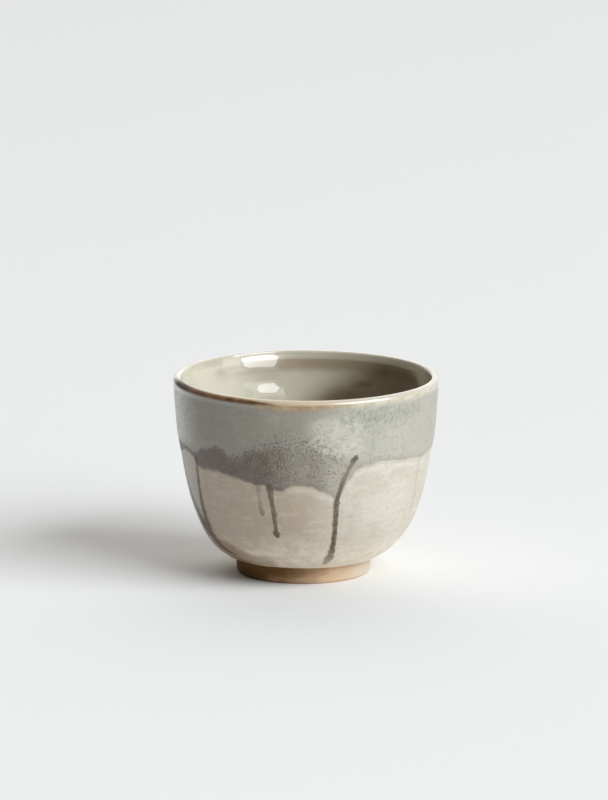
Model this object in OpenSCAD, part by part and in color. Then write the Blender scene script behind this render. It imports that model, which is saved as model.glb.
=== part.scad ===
// A small hand-thrown stoneware cup on a turned foot ring. The clay is two pieces, a bowl and its foot,
// and the glaze lies on it coat by coat: a pale coat outside, a dark band over it, a grey coat over the
// band, a liner inside, a thin amber ring over the lip, and the runs that flowed down from the band.

/* [Overall] */
// Diameter across the mouth, over the glaze
mouth_d = 72; // [66:0.5:82]
// Height from the table to the top of the lip
cup_h = 54; // [48:0.5:64]

/* [Foot ring] */
// Outside diameter of the foot ring where it meets the bowl
foot_d = 37; // [32:0.5:42]
// Height of the foot ring
foot_h = 4.8; // [3.6:0.1:7]
// Width of the foot ring where it meets the bowl
foot_wall = 4.6; // [3.6:0.1:6]
// How far each side of the foot ring draws in from the bowl to the table
foot_draw = 0.4; // [0.1:0.1:1]
// Turned chamfer on the lower edges of the foot ring
foot_bevel = 0.5; // [0.2:0.1:0.9]

/* [Bowl] */
// Step from the foot ring out to the heel of the bowl
heel_step = 0.4; // [0.2:0.1:1.2]
// Slope of the bowl where it leaves the foot, in degrees above level
heel_slope = 17; // [10:1:26]
// How far the belly is pulled out from the heel
belly_pull = 12.5; // [9:0.5:16]
// How far the wall is pulled up straight below the lip
wall_pull = 23; // [15:0.5:28]
// Outward lean of the wall at the lip, in degrees
wall_lean = 3; // [0:0.5:7]
// Thickness of the clay at the heel
heel_wall = 6.5; // [5:0.1:8]
// Thickness of the clay at the lip
lip_wall = 1.2; // [1:0.1:2.4]

/* [Glaze coats] */
// Thickness of the pale coat outside
outer_t = 0.3; // [0.2:0.05:0.5]
// Thickness of the dark band over the pale coat
band_t = 0.25; // [0.15:0.05:0.5]
// Thickness of the grey coat over the band
veil_t = 0.2; // [0.15:0.05:0.4]
// Thickness of the liner inside
liner_t = 0.3; // [0.2:0.05:0.5]
// How far the amber lip glaze comes down the wall
lip_drop = 1.4; // [0.8:0.1:3]
// Bare clay left between the foot ring and the pale coat
bare_line = 0.6; // [0.3:0.1:2]

/* [Glaze runs] */
// Width of a full run at its neck
run_w = 1.7; // [1.2:0.1:2.6]
// How far a run stands out from the pale coat
run_t = 0.5; // [0.3:0.05:0.9]

/* [Hidden] */
$fn = 144;
wall_steps = 28;
dish_steps = 8;
lip_steps = 12;
edge_step = 2;
run_steps = 16;

// Colours of the clay and of each coat
bare_clay = "#b48a5c";
thrown_clay = "#a58f74";
pale_glaze = "#d3ccb9";
dark_glaze = "#77756a";
grey_glaze = "#a7a89e";
amber_glaze = "#b38f62";

// Share by which the amber glaze thins at the crest of the lip
crest_thin_share = 0.4;
// Power of the curve value by which the clay thins up the wall: the higher, the later it thins
thinning_power = 1.6;
// Clearance under a run, so that its flat facets lie on the curved coat without cutting it
run_seat = 0.03;

// Coats in the order that they lie on the wall
band_base = outer_t;
veil_base = band_base + band_t;
coats_t = veil_base + veil_t;

// The lip is a half round across the wall, turned by the wall's lean
lean_up = [sin(wall_lean), cos(wall_lean)];
lean_out = [cos(wall_lean), -sin(wall_lean)];
lip_r = lip_wall / 2;
lip_crest_t = (coats_t + liner_t) / 2 * (1 - crest_thin_share);
lip_middle = [mouth_d / 2 - coats_t - lip_r, cup_h - lip_r - lip_crest_t];

// The outside of the clay: one smooth curve from the heel to the start of the amber lip
heel = [foot_d / 2 + heel_step, foot_h];
wall_top = lip_middle + lip_r * lean_out - lip_drop * lean_up;
wall_curve = [heel, heel + belly_pull * [cos(heel_slope), sin(heel_slope)],
              wall_top - wall_pull * lean_up, wall_top];

// Cubic curve through four handles, and its direction
function curve(p, t) = pow(1 - t, 3) * p[0] + 3 * pow(1 - t, 2) * t * p[1]
    + 3 * (1 - t) * t * t * p[2] + pow(t, 3) * p[3];
function curve_way(p, t) = pow(1 - t, 2) * (p[1] - p[0]) + 2 * (1 - t) * t * (p[2] - p[1])
    + t * t * (p[3] - p[2]);
function unit(v) = v / norm(v);
function mix(a, b, share) = a + (b - a) * share;

// Point on the wall at curve value t, lifted along the outward normal
function wall_point(t, lift) = let (way = unit(curve_way(wall_curve, t)))
    curve(wall_curve, t) + lift * [way[1], -way[0]];

// Curve value at which the wall, lifted, reaches height z
function wall_at(z, lift, low = 0, high = 1, tries = 24) = let (t = (low + high) / 2)
    tries == 0 ? t
    : wall_point(t, lift)[1] < z ? wall_at(z, lift, t, high, tries - 1)
    : wall_at(z, lift, low, t, tries - 1);

// Points along the wall between two curve values, lifted by the same amount
function wall_line(t0, t1, lift, steps = wall_steps) =
    [for (i = [0 : steps]) wall_point(mix(t0, t1, i / steps), lift)];
function turned(points) = [for (i = [len(points) - 1 : -1 : 0]) points[i]];

// Inside of the clay: the wall moved in by its own thickness, which grows from the lip to the heel
function clay_t(t) = mix(heel_wall, lip_wall, pow(t, thinning_power));
function inside_line(lift) = [for (i = [0 : wall_steps]) wall_point(i / wall_steps,
    -clay_t(i / wall_steps) - lift)];
// The floor is a shallow dish that leaves the wall's foot without a corner
function dish_line(lift) = let (
        edge = inside_line(lift)[0],
        way = unit(inside_line(lift)[1] - edge),
        turn = edge[0] / 2,
        low = edge[1] - turn * way[1] / way[0])
    [for (i = [0 : dish_steps]) let (s = i / dish_steps)
        pow(1 - s, 2) * [0, low] + 2 * (1 - s) * s * [turn, low] + s * s * edge];

// Lip, from the outer side over the crest to the inner side, with its coat
function lip_coat(turn) = mix(coats_t, liner_t, turn / 180) * (1 - crest_thin_share * sin(turn));
function lip_line(coated) = [for (i = [0 : lip_steps]) let (turn = 180 * i / lip_steps)
    lip_middle + (lip_r + (coated ? lip_coat(turn) : 0)) * (cos(turn) * lean_out + sin(turn) * lean_up)];
lip_inside = wall_point(1, -lip_wall);

// Lower edges of the two upper coats: angle round the cup from the front, and share of the cup's height
band_edge_shares = [[-82, 0.635], [-72, 0.66], [-60, 0.61], [-48, 0.60], [-34, 0.585], [-24, 0.555],
    [-20, 0.56], [-16, 0.535], [-4, 0.567], [6, 0.55], [14, 0.49], [24, 0.635], [36, 0.67], [52, 0.65],
    [64, 0.635], [82, 0.655], [104, 0.57], [122, 0.64], [146, 0.53], [168, 0.62], [196, 0.58],
    [216, 0.65], [236, 0.56], [258, 0.64], [278, 0.635]];
veil_edge_shares = [[-82, 0.70], [-60, 0.675], [-42, 0.735], [-36, 0.70], [-14, 0.765], [2, 0.755],
    [12, 0.71], [22, 0.695], [36, 0.695], [60, 0.685], [90, 0.70], [124, 0.73], [152, 0.68],
    [188, 0.735], [228, 0.69], [258, 0.725], [278, 0.70]];
// Share of the cup's height at an angle, eased between the two rows of the table on either side
function edge_share(table, angle) = let (
        first = table[0][0],
        a = first + (angle - first) - 360 * floor((angle - first) / 360),
        i = max([for (k = [0 : len(table) - 2]) table[k][0] <= a ? k : 0]),
        s = (a - table[i][0]) / (table[i + 1][0] - table[i][0]))
    mix(table[i][1], table[i + 1][1], (1 - cos(180 * s)) / 2);
function edge_z(table, angle) = cup_h * edge_share(table, angle);

// Point in space at an angle from the front, on the wall's plane point [radius, height]
function around(angle, p) = [p[0] * sin(angle), -p[0] * cos(angle), p[1]];

// Ring-shaped block from the table up to a coat's lower edge, wide enough to pass the wall on both sides
module below_edge(table) {
    near = foot_d / 2;
    far = mouth_d;
    turns = [for (a = [0 : edge_step : 360 - edge_step]) a];
    n = len(turns);
    points = [for (a = turns) each [around(a, [near, 0]), around(a, [far, 0]),
        around(a, [far, edge_z(table, a)]), around(a, [near, edge_z(table, a)])]];
    faces = [for (i = [0 : n - 1], k = [0 : 3]) let (
            a = 4 * i + k,
            b = 4 * i + (k + 1) % 4,
            c = 4 * ((i + 1) % n) + (k + 1) % 4,
            d = 4 * ((i + 1) % n) + k)
        each [[a, b, c], [a, c, d]]];
    polyhedron(points, faces);
}

// Coat on the upper wall, from the amber lip down to its own wavy edge
module dipped_coat(table, base, thick) {
    lowest = cup_h * min([for (row = table) row[1]]) - thick;
    t0 = wall_at(lowest, base);
    difference() {
        rotate_extrude()
            polygon(concat(wall_line(t0, 1, base + thick), turned(wall_line(t0, 1, base))));
        below_edge(table);
    }
}

// Shape of a run: width along it from the band (0) to its tip (1), as a share of the full width
root_flare_share = 0.6;
root_length_share = 0.07;
bead_swell_share = 0.45;
bead_place_share = 0.9;
bead_length_share = 0.08;
tip_round_share = 0.95;
tip_least_share = 0.25;
function bump(s, middle, length) = exp(-pow((s - middle) / length, 2));
function tip_round(s) = sqrt(1 - pow(tip_round_share * max(0, (s - bead_place_share)
    / (1 - bead_place_share)), 2));
function run_width(s) = (1 + root_flare_share * bump(s, 0, root_length_share)
    + bead_swell_share * bump(s, bead_place_share, bead_length_share)) * max(tip_least_share, tip_round(s));
// Section of a run: places across it, as shares of half its width, over the top and back underneath
run_top_shares = [-1, -0.7, 0, 0.7, 1];
run_under_shares = [0.5, 0, -0.5];

// One run of glaze: it leaves the band at an angle, sways as it falls and ends in a bead
module glaze_run(angle, sway, tip_share, width_share) {
    root_z = edge_z(band_edge_shares, angle) - run_seat;
    tip_z = cup_h * tip_share;
    sides = len(run_top_shares) + len(run_under_shares);
    rings = [for (i = [0 : run_steps]) let (
            s = i / run_steps,
            t = wall_at(mix(root_z, tip_z, s), outer_t),
            half = run_w * width_share * run_width(s) / 2,
            bead = run_t * sqrt(width_share) * min(1, run_width(s)),
            turn = angle + sway * (1 - cos(180 * s)) / 2,
            degrees = half / wall_point(t, outer_t)[0] * 180 / PI)
        concat([for (x = run_top_shares) around(turn + degrees * x,
                    wall_point(t, outer_t + run_seat + bead * sqrt(1 - x * x)))],
               [for (x = run_under_shares) around(turn + degrees * x,
                    wall_point(t, outer_t + run_seat))])];
    sleeve = [for (i = [0 : run_steps - 1], k = [0 : sides - 1]) let (
            a = sides * i + k,
            b = sides * i + (k + 1) % sides,
            c = sides * (i + 1) + (k + 1) % sides,
            d = sides * (i + 1) + k)
        each [[a, c, b], [a, d, c]]];
    last = sides * run_steps;
    caps = [for (k = [1 : sides - 2]) each [[0, k, k + 1], [last, last + k + 1, last + k]]];
    polyhedron([for (ring = rings) each ring], concat(sleeve, caps));
}

// Turned foot ring: bare clay, drawn in a little to a flat underside with both edges broken
module foot_ring() {
    out_r = foot_d / 2;
    in_r = out_r - foot_wall;
    color(bare_clay)
        rotate_extrude()
            polygon([[in_r, foot_h], [in_r + foot_draw, foot_bevel], [in_r + foot_draw + foot_bevel, 0],
                [out_r - foot_draw - foot_bevel, 0], [out_r - foot_draw, foot_bevel], [out_r, foot_h]]);
}

// Thrown bowl: flat seat on the foot ring, round belly, thin lip, dished floor
module bowl() {
    color(thrown_clay)
        rotate_extrude()
            polygon(concat([[0, foot_h]], wall_line(0, 1, 0), lip_line(false), [lip_inside],
                turned(inside_line(0)), turned(dish_line(0))));
}

// Pale liner over the floor and the inside wall, up to the amber lip
module liner_glaze() {
    color(pale_glaze)
        rotate_extrude()
            polygon(concat(dish_line(0), inside_line(0), turned(inside_line(liner_t)),
                turned(dish_line(liner_t))));
}

// Pale coat over the whole outside, from just above the foot to the amber lip
module outer_glaze() {
    t0 = bare_line / norm(curve_way(wall_curve, 0)) / 3;
    color(pale_glaze)
        rotate_extrude()
            polygon(concat(wall_line(t0, 1, outer_t), turned(wall_line(t0, 1, 0))));
}

// Dark band over the pale coat, whose edge sags towards each run
module band_glaze() {
    color(dark_glaze)
        dipped_coat(band_edge_shares, band_base, band_t);
}

// Grey coat over the upper part of the band
module veil_glaze() {
    color(grey_glaze)
        dipped_coat(veil_edge_shares, veil_base, veil_t);
}

// Amber glaze over the lip, where the coats have run thin
module lip_glaze() {
    color(amber_glaze)
        rotate_extrude()
            polygon(concat([wall_point(1, coats_t)], lip_line(true), [wall_point(1, -lip_wall - liner_t)],
                [lip_inside], turned(lip_line(false)), [wall_top]));
}

// Runs: angle from the front, sway in degrees, height of the tip and width as shares
module long_run() {
    color(dark_glaze)
        glaze_run(14, 1, 0.125, 1);
}
module second_run() {
    color(dark_glaze)
        glaze_run(-16, 1, 0.285, 0.9);
}
module short_run() {
    color(dark_glaze)
        glaze_run(-24, 1, 0.4, 0.6);
}
module left_run() {
    color(dark_glaze)
        glaze_run(-60, 2, 0.15, 1);
}
module side_run() {
    color(dark_glaze)
        glaze_run(-82, 3, 0.22, 0.9);
}
module right_run() {
    color(dark_glaze)
        glaze_run(64, 2, 0.34, 0.5);
}
module back_right_run() {
    color(dark_glaze)
        glaze_run(104, 1, 0.3, 0.9);
}
module back_middle_run() {
    color(dark_glaze)
        glaze_run(146, -2, 0.14, 1);
}
module back_left_run() {
    color(dark_glaze)
        glaze_run(196, 2, 0.36, 0.7);
}
module far_left_run() {
    color(dark_glaze)
        glaze_run(236, -1, 0.24, 0.9);
}

foot_ring();
bowl();
liner_glaze();
outer_glaze();
band_glaze();
veil_glaze();
lip_glaze();
long_run();
second_run();
short_run();
left_run();
side_run();
right_run();
back_right_run();
back_middle_run();
back_left_run();
far_left_run();
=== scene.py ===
import math

import bpy
import numpy as np
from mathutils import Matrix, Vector


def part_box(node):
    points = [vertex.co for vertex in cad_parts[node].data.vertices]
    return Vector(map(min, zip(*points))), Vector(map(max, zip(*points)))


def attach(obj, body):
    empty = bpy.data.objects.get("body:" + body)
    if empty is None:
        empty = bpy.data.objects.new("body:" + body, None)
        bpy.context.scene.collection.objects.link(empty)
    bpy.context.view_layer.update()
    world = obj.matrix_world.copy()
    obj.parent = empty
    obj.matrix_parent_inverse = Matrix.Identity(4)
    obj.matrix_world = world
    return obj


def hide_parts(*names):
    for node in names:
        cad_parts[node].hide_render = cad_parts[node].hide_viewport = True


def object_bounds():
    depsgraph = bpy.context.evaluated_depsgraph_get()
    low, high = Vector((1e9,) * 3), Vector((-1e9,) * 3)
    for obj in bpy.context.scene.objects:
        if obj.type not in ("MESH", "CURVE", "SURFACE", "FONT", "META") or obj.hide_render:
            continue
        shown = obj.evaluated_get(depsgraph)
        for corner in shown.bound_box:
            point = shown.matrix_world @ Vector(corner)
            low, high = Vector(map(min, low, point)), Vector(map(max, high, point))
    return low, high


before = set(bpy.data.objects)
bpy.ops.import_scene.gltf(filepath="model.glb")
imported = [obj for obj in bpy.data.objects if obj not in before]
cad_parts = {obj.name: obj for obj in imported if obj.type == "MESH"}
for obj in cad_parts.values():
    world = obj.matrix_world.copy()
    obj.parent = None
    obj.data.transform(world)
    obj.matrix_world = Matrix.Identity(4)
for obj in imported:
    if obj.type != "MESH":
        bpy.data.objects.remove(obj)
cad_box = [list(corner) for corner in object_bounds()]

# Foot ring
# A ring of bare stoneware under the bowl, turned with a loop tool while the clay was leather hard, so fine
# grooves run round it. Its colour runs from pale tan on the right to dark brown on the left: partly the kiln's
# toasting, partly painted shade, since the left faces away from the window and the top lies under the bowl.
MM = 0.001
foot_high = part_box("foot_ring")[1]
foot_out, foot_h = foot_high.x, foot_high.z
foot_wall, foot_draw, foot_bevel = 4.6 * MM, 0.4 * MM, 0.5 * MM
foot_edge_round = 0.3 * MM
foot_groove_pitch, foot_groove_depth = 0.55 * MM, 0.02 * MM
foot_uneven, foot_uneven_pitch, foot_slack = 0.05 * MM, 4 * MM, 0.06 * MM
foot_sway, sway_top = 0.65 * MM, 17 * MM
# Heights over which the painted shade under the bowl's overhang sets in on the foot
under_shade_low, under_shade_high = 0.8 * MM, 3.4 * MM
sharp_turn = math.radians(50)
foot_rows, columns_round = 120, 720
angles = np.linspace(0, 360, columns_round, endpoint=False)


def waves(angle, height, seed, turns, pitch=1.0, count=24):
    """Smooth unevenness, mostly between -1 and 1: a sum of cosine waves whose phase is a whole number of
    turns times the angle, plus the height over a wavelength no shorter than pitch, plus a drawn start."""
    draw = np.random.default_rng(seed)
    whole = draw.integers(0, turns + 1, count)
    rise = draw.uniform(-1, 1, count) / pitch
    start = draw.uniform(0, 2 * math.pi, count)
    total = np.zeros(np.broadcast(angle, height).shape)
    for k, q, s in zip(whole, rise, start):
        total += np.cos(np.radians(angle) * k + 2 * math.pi * q * height + s)
    return total / math.sqrt(2 * count)


def ease(value, low, high):
    """0 below low, 1 above high, and the cubic 3s^2 - 2s^3 of the share s in between."""
    share = np.clip((value - low) / (high - low), 0, 1)
    return share * share * (3 - 2 * share)


def from_front(angle):
    """The same angle, between -180 and 180 degrees from the front."""
    return np.mod(angle + 180, 360) - 180


def hump(angle, middle, half):
    """1 near an angle and 0 from half degrees away, with a smooth fall over the outer two thirds."""
    return 1 - ease(np.abs(from_front(angle - middle)), 0.35 * half, half)


def far_side(angle):
    """0 on the front of the cup and 1 on its back, with a smooth change just behind the flanks."""
    return ease(np.abs(from_front(angle)), 95, 125)


def round_the_axis(angle, radius, height):
    """Points on a turned form: the front of the cup is angle 0, towards -Y, and +X is at 90 degrees. The foot
    was turned a little off the wheel's middle, so below the belly the form eases over to -X."""
    turn = np.radians(angle)
    sway = foot_sway * (1 - ease(height, foot_h, sway_top))
    return np.stack(np.broadcast_arrays(radius * np.sin(turn) - sway, -radius * np.cos(turn), height), -1)


def rounded_loop(corners, count, radius):
    """Closed outline through corners, sampled evenly along its length, then averaged over a stretch of
    the given radius each way, which rounds the corners."""
    closed = np.vstack([corners, corners[:1]])
    along = np.concatenate([[0], np.cumsum(np.linalg.norm(np.diff(closed, axis=0), axis=1))])
    place = np.linspace(0, along[-1], count, endpoint=False)
    line = np.stack([np.interp(place, along, closed[:, k]) for k in range(2)], -1)
    reach = max(1, round(radius / along[-1] * count))
    return np.mean([np.roll(line, k, axis=0) for k in range(-reach, reach + 1)], axis=0)


def placed(name, data):
    """An object for a mesh, a lamp or a camera, linked into the scene."""
    made = bpy.data.objects.new(name, data)
    bpy.context.scene.collection.objects.link(made)
    return made


def closed_skin(name, points, films, poles=False):
    """Closed mesh over a grid of points, rows by columns. The columns join up round the form. The rows join
    up too, or with poles the first and last row each shrink to one point. The sign of the volume, the sum
    over the faces of the triple product of three corners, tells which way they look and turns them out.
    Each film is a value per point, kept as an attribute."""
    rows, columns = points.shape[:2]
    grid = np.arange(rows * columns).reshape(rows, columns)
    vertices = points.reshape(-1, 3)
    if poles:
        grid = grid[: rows - 2]
        vertices = np.vstack([points[1:-1].reshape(-1, 3), points[0].mean(0), points[-1].mean(0)])
    else:
        grid = np.vstack([grid, grid[:1]])
    beside = np.roll(grid, -1, axis=1)
    quads = np.stack([grid[:-1], beside[:-1], beside[1:], grid[1:]], -1).reshape(-1, 4)
    faces = [quads]
    if poles:
        first = np.full(columns, len(vertices) - 2)
        faces.append(np.stack([first, beside[0], grid[0]], -1))
        faces.append(np.stack([first + 1, grid[-1], beside[-1]], -1))
    a, b, c, d = (vertices[quads[:, k]] for k in range(4))
    volume = (a * np.cross(b, c)).sum() + (a * np.cross(c, d)).sum()
    step = 1 if volume > 0 else -1
    mesh = bpy.data.meshes.new(name)
    mesh.from_pydata(vertices.tolist(), [], [face for group in faces for face in group[:, ::step].tolist()])
    mesh.polygons.foreach_set("use_smooth", np.ones(len(mesh.polygons), bool))
    mesh.set_sharp_from_angle(angle=sharp_turn)
    for film, values in films.items():
        values = np.broadcast_to(values, (rows, columns))
        if poles:
            values = np.concatenate([values[1:-1].ravel(), [values[0].mean(), values[-1].mean()]])
        layer = mesh.attributes.new(film, "FLOAT", "POINT")
        layer.data.foreach_set("value", np.ascontiguousarray(values, np.float32).ravel())
    mesh.update()
    return placed(name, mesh)


class Graph:
    """Node graph of a material or of the room. Each method adds a node, sets its inputs or links them to the
    outputs of other nodes, and gives the new node's output."""

    def __init__(self, tree):
        self.tree = tree

    def put(self, socket, value):
        """Links a socket to an output, or sets it to a colour or a number."""
        if isinstance(value, bpy.types.NodeSocket):
            self.tree.links.new(value, socket)
        elif socket.type == "RGBA":
            socket.default_value = (*value, 1)
        else:
            socket.default_value = value

    def node(self, kind, inputs, out=0, **settings):
        """A node of one kind: its settings come first, because they decide which inputs it has."""
        made = self.tree.nodes.new(kind)
        for key, value in settings.items():
            setattr(made, key, value)
        for key, value in inputs.items():
            self.put(made.inputs[key], value)
        return made.outputs[out]

    def step(self, operation, a, b):
        """One step of arithmetic on two outputs or numbers."""
        return self.node("ShaderNodeMath", {0: a, 1: b}, operation=operation)

    def sum(self, a, b):
        """a plus b."""
        return self.step("ADD", a, b)

    def times(self, a, b):
        """a times b."""
        return self.step("MULTIPLY", a, b)


class Finish(Graph):
    """Material of a piece: a shader, and patterns that follow the piece's own coordinates and films."""

    def __init__(self, name):
        self.material = bpy.data.materials.new(name)
        self.material.use_nodes = True
        super().__init__(self.material.node_tree)
        self.shader = self.tree.nodes["Principled BSDF"]
        self.place = self.node("ShaderNodeTexCoord", {}, "Object")

    def set(self, **inputs):
        """Sets inputs of the shader, named with underscores for the spaces."""
        for key, value in inputs.items():
            self.put(self.shader.inputs[key.replace("_", " ")], value)

    def film(self, name):
        """Value of a film, which the mesh keeps as an attribute."""
        return self.node("ShaderNodeAttribute", {}, "Fac", attribute_name=name)

    def noise(self, size, detail=2.0, rough=0.5, stretch=(1, 1, 1)):
        """Cloudy noise in patches about the given size, in metres, longer where stretch is under 1."""
        place = self.node("ShaderNodeMapping", {"Vector": self.place, "Scale": stretch})
        return self.node("ShaderNodeTexNoise", {"Vector": place, "Scale": 1 / size, "Detail": detail,
                                                "Roughness": rough})

    def ramp(self, value, low, high, to_low=0.0, to_high=1.0):
        """Smooth change from to_low at low to to_high at high."""
        return self.node("ShaderNodeMapRange", {"Value": value, "From Min": low, "From Max": high,
                                                "To Min": to_low, "To Max": to_high},
                         interpolation_type="SMOOTHSTEP")

    def blend(self, share, a, b):
        """Colour that goes from a to b as the share goes from 0 to 1."""
        return self.node("ShaderNodeMix", {0: share, 6: a, 7: b}, 2, data_type="RGBA")

    def stain(self, body, colour, noise, span, shares=(0.0, 1.0), film=None):
        """Body stained with a colour, whose share goes from the first of shares to the second as the noise
        goes through the span. A film, where one is named, multiplies the share."""
        share = self.ramp(noise, *span, *shares)
        if film:
            share = self.times(self.film(film), share)
        return self.blend(share, body, colour)

    def bump(self, height, depth, strength):
        """Surface normal of a relief: height from 0 to 1, times depth in metres."""
        return self.node("ShaderNodeBump", {"Height": height, "Distance": depth, "Strength": strength})


def toasted_and_shaded_clay(name):
    """Open clay, by how far the flame reached it and how deep it lies in painted shade: pale tan, warm tan,
    orange brown, then dark brown, in clouds and streaks, with dark and light grog and a dry, pitted surface."""
    pale_tan, warm_tan = (0.620, 0.535, 0.433), (0.630, 0.458, 0.300)
    # The dark brown is painted shade as well as the deepest toasting
    orange_brown, shaded_dark_brown = (0.475, 0.310, 0.193), (0.185, 0.092, 0.030)
    dark_grog, light_grog = (0.110, 0.060, 0.030), (0.740, 0.580, 0.400)
    clay = Finish(name)
    cloud = clay.sum(clay.noise(5 * MM, 3.0), -0.5)
    streak = clay.sum(clay.noise(1.2 * MM, 2.0, 0.5, (0.2, 0.2, 1.0)), -0.5)
    grain = clay.noise(0.35 * MM, 3.0, 0.7)
    toast_and_shade = clay.sum(clay.film("toast_and_shade"), clay.times(cloud, 0.45))
    toast_and_shade = clay.sum(toast_and_shade, clay.times(streak, 0.5))
    body = clay.blend(clay.ramp(toast_and_shade, -0.35, 0.05), pale_tan, warm_tan)
    body = clay.stain(body, orange_brown, toast_and_shade, (0.05, 0.5))
    body = clay.stain(body, shaded_dark_brown, toast_and_shade, (0.5, 1.05))
    body = clay.stain(body, dark_grog, grain, (0.30, 0.42), (0.35, 0.0))
    body = clay.stain(body, light_grog, grain, (0.62, 0.75), (0.0, 0.2))
    clay.set(Base_Color=body, Roughness=clay.ramp(grain, 0.3, 0.7, 0.65, 0.9), Specular_IOR_Level=0.15,
             Normal=clay.bump(grain, 0.12 * MM, 0.7))
    return clay.material


def foot_toast_and_shade(angle, height):
    """How far the flame reached the foot, with painted shade: it grows in two steps towards the left, which
    faces away from the window, is middling at the back and least on the lit right, and is more under the glaze,
    in the bowl's shade, than by the table."""
    to_left, behind = -from_front(angle), far_side(angle)
    toast_and_shade = 0.92 * ease(to_left, -33, 22) + 0.45 * ease(to_left, 28, 60)
    toast_and_shade = (1 - behind) * toast_and_shade + 0.45 * behind - 0.35 * hump(angle, 80, 50)
    # Painted shade under the bowl's overhang: the foot is darker towards its top on the front and left
    under_bowl_shade = ease(height, under_shade_low, under_shade_high) - 0.4
    return toast_and_shade + 0.3 * under_bowl_shade * ease(to_left, -60, 0)


foot_in = foot_out - foot_wall
foot_corners = np.array([
    [foot_in, foot_h], [foot_in + foot_draw, foot_bevel], [foot_in + foot_draw + foot_bevel, 0],
    [foot_out - foot_draw - foot_bevel, 0], [foot_out - foot_draw, foot_bevel], [foot_out, foot_h]])
foot_line = rounded_loop(foot_corners, foot_rows, foot_edge_round)
foot_r, foot_z = foot_line[:, :1], foot_line[:, 1:]
turned = foot_groove_depth * np.cos(2 * math.pi * foot_z / foot_groove_pitch + np.radians(angles))
turned += foot_uneven * waves(angles, foot_z, seed=11, turns=9, pitch=foot_uneven_pitch)
turned = (turned - foot_slack) * ease(foot_z, 0, foot_bevel)
foot_side = np.where(foot_r > foot_out - foot_wall / 2, 1, -1)
foot = closed_skin("turned_foot_ring", round_the_axis(angles, foot_r + foot_side * turned, foot_z),
                   {"toast_and_shade": foot_toast_and_shade(angles, foot_z)})
foot.data.materials.append(toasted_and_shaded_clay("bare_clay"))
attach(foot, "root")
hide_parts("foot_ring")

# Bowl
# The bowl is one lump of stoneware thrown on the wheel: a round belly, a wall drawn up to a thin round lip
# and a dished floor. It is glazed almost all over, so bare clay shows only under the foot and just above it.
mouth_r, cup_h = cad_box[1][0], cad_box[1][2]
outer_t, band_t, veil_t, liner_t = 0.3 * MM, 0.25 * MM, 0.2 * MM, 0.3 * MM
coats_t = outer_t + band_t + veil_t
heel_step, heel_slope, belly_pull = 0.4 * MM, math.radians(17), 12.5 * MM
wall_pull, wall_lean = 23 * MM, math.radians(3)
heel_wall, lip_wall, lip_drop = 6.5 * MM, 1.2 * MM, 1.4 * MM
crest_thin_share, thinning_power = 0.4, 1.6
unevenness, under_gap = 0.12 * MM, 0.04 * MM
lobe_depth, throw_depth, throw_pitch = 0.09 * MM, 0.02 * MM, 3.4 * MM
drift_pitch, fading_pitch = 30 * MM, 14 * MM
bowl_rows, seat_rows, bowl_lip_rows, curve_steps = 60, 12, 14, 2001
lean_up = np.array([math.sin(wall_lean), math.cos(wall_lean)])
lean_out = np.array([math.cos(wall_lean), -math.sin(wall_lean)])
lip_r = lip_wall / 2
lip_crest_t = (coats_t + liner_t) / 2 * (1 - crest_thin_share)
lip_top = cup_h - unevenness
lip_middle = np.array([mouth_r - unevenness - coats_t - lip_r, lip_top - lip_r - lip_crest_t])
heel = np.array([foot_out + heel_step, foot_h])
wall_top = lip_middle + lip_r * lean_out - lip_drop * lean_up
wall_handles = [heel, heel + belly_pull * np.array([math.cos(heel_slope), math.sin(heel_slope)]),
                wall_top - wall_pull * lean_up, wall_top]


def wall_point(t, lift=0.0):
    """Radius and height of the clay's outside at curve value t, lifted along its outward normal: a cubic
    curve from the heel to the lip through two handles, and its direction turned by a right angle."""
    t = np.asarray(t)[..., None]
    p = wall_handles
    spot = (1 - t) ** 3 * p[0] + 3 * (1 - t) ** 2 * t * p[1] + 3 * (1 - t) * t ** 2 * p[2] + t ** 3 * p[3]
    way = (1 - t) ** 2 * (p[1] - p[0]) + 2 * (1 - t) * t * (p[2] - p[1]) + t ** 2 * (p[3] - p[2])
    way = way / np.linalg.norm(way, axis=-1, keepdims=True)
    spot = spot + np.asarray(lift)[..., None] * np.stack([way[..., 1], -way[..., 0]], -1)
    return spot[..., 0], spot[..., 1]


curve_values = np.linspace(0, 1, curve_steps)
curve_heights = wall_point(curve_values)[1]


def wall_at(height):
    """Curve value at which the clay's outside reaches a height, read back from the curve."""
    return np.interp(height, curve_heights, curve_values)


def thrown(angle, height):
    """Unevenness of a wall thrown by hand, in metres: slow lobes round the cup that grow towards the lip,
    and shallow ridges that climb like a screw thread and come and go."""
    share = np.clip(height / cup_h, 0, 1)
    lobes = lobe_depth * share * waves(angle, 0, seed=3, turns=3, count=12)
    drift = 2 * waves(angle, height, seed=5, turns=4, pitch=drift_pitch)
    ridge = np.cos(2 * math.pi * height / throw_pitch + np.radians(angle) + drift)
    fading = 0.5 + 0.5 * waves(angle, height, seed=7, turns=5, pitch=fading_pitch)
    return lobes + throw_depth * ridge * fading


def outside(angle, t, lift):
    """Points on the thrown outside wall at an angle and curve value, lifted and uneven along the normal."""
    radius, height = wall_point(t, lift + thrown(angle, wall_point(t)[1]))
    return round_the_axis(angle, radius, height)


# Ridges left inside by throwing: height, and how far the wall swells outwards there, both in millimetres
ridge_table = [(30, 0), (42.6, -0.40), (45.8, 0.20), (49.4, -0.42), (53.0, 0.36), (54, 0.37)]
ridge_round, ridge_side, ridge_least = 0.4 * MM, 199, 0.04
upper_ridge_half, lower_ridge_half = 22, 9
upper_from, upper_full = 47 * MM, 49 * MM


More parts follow.
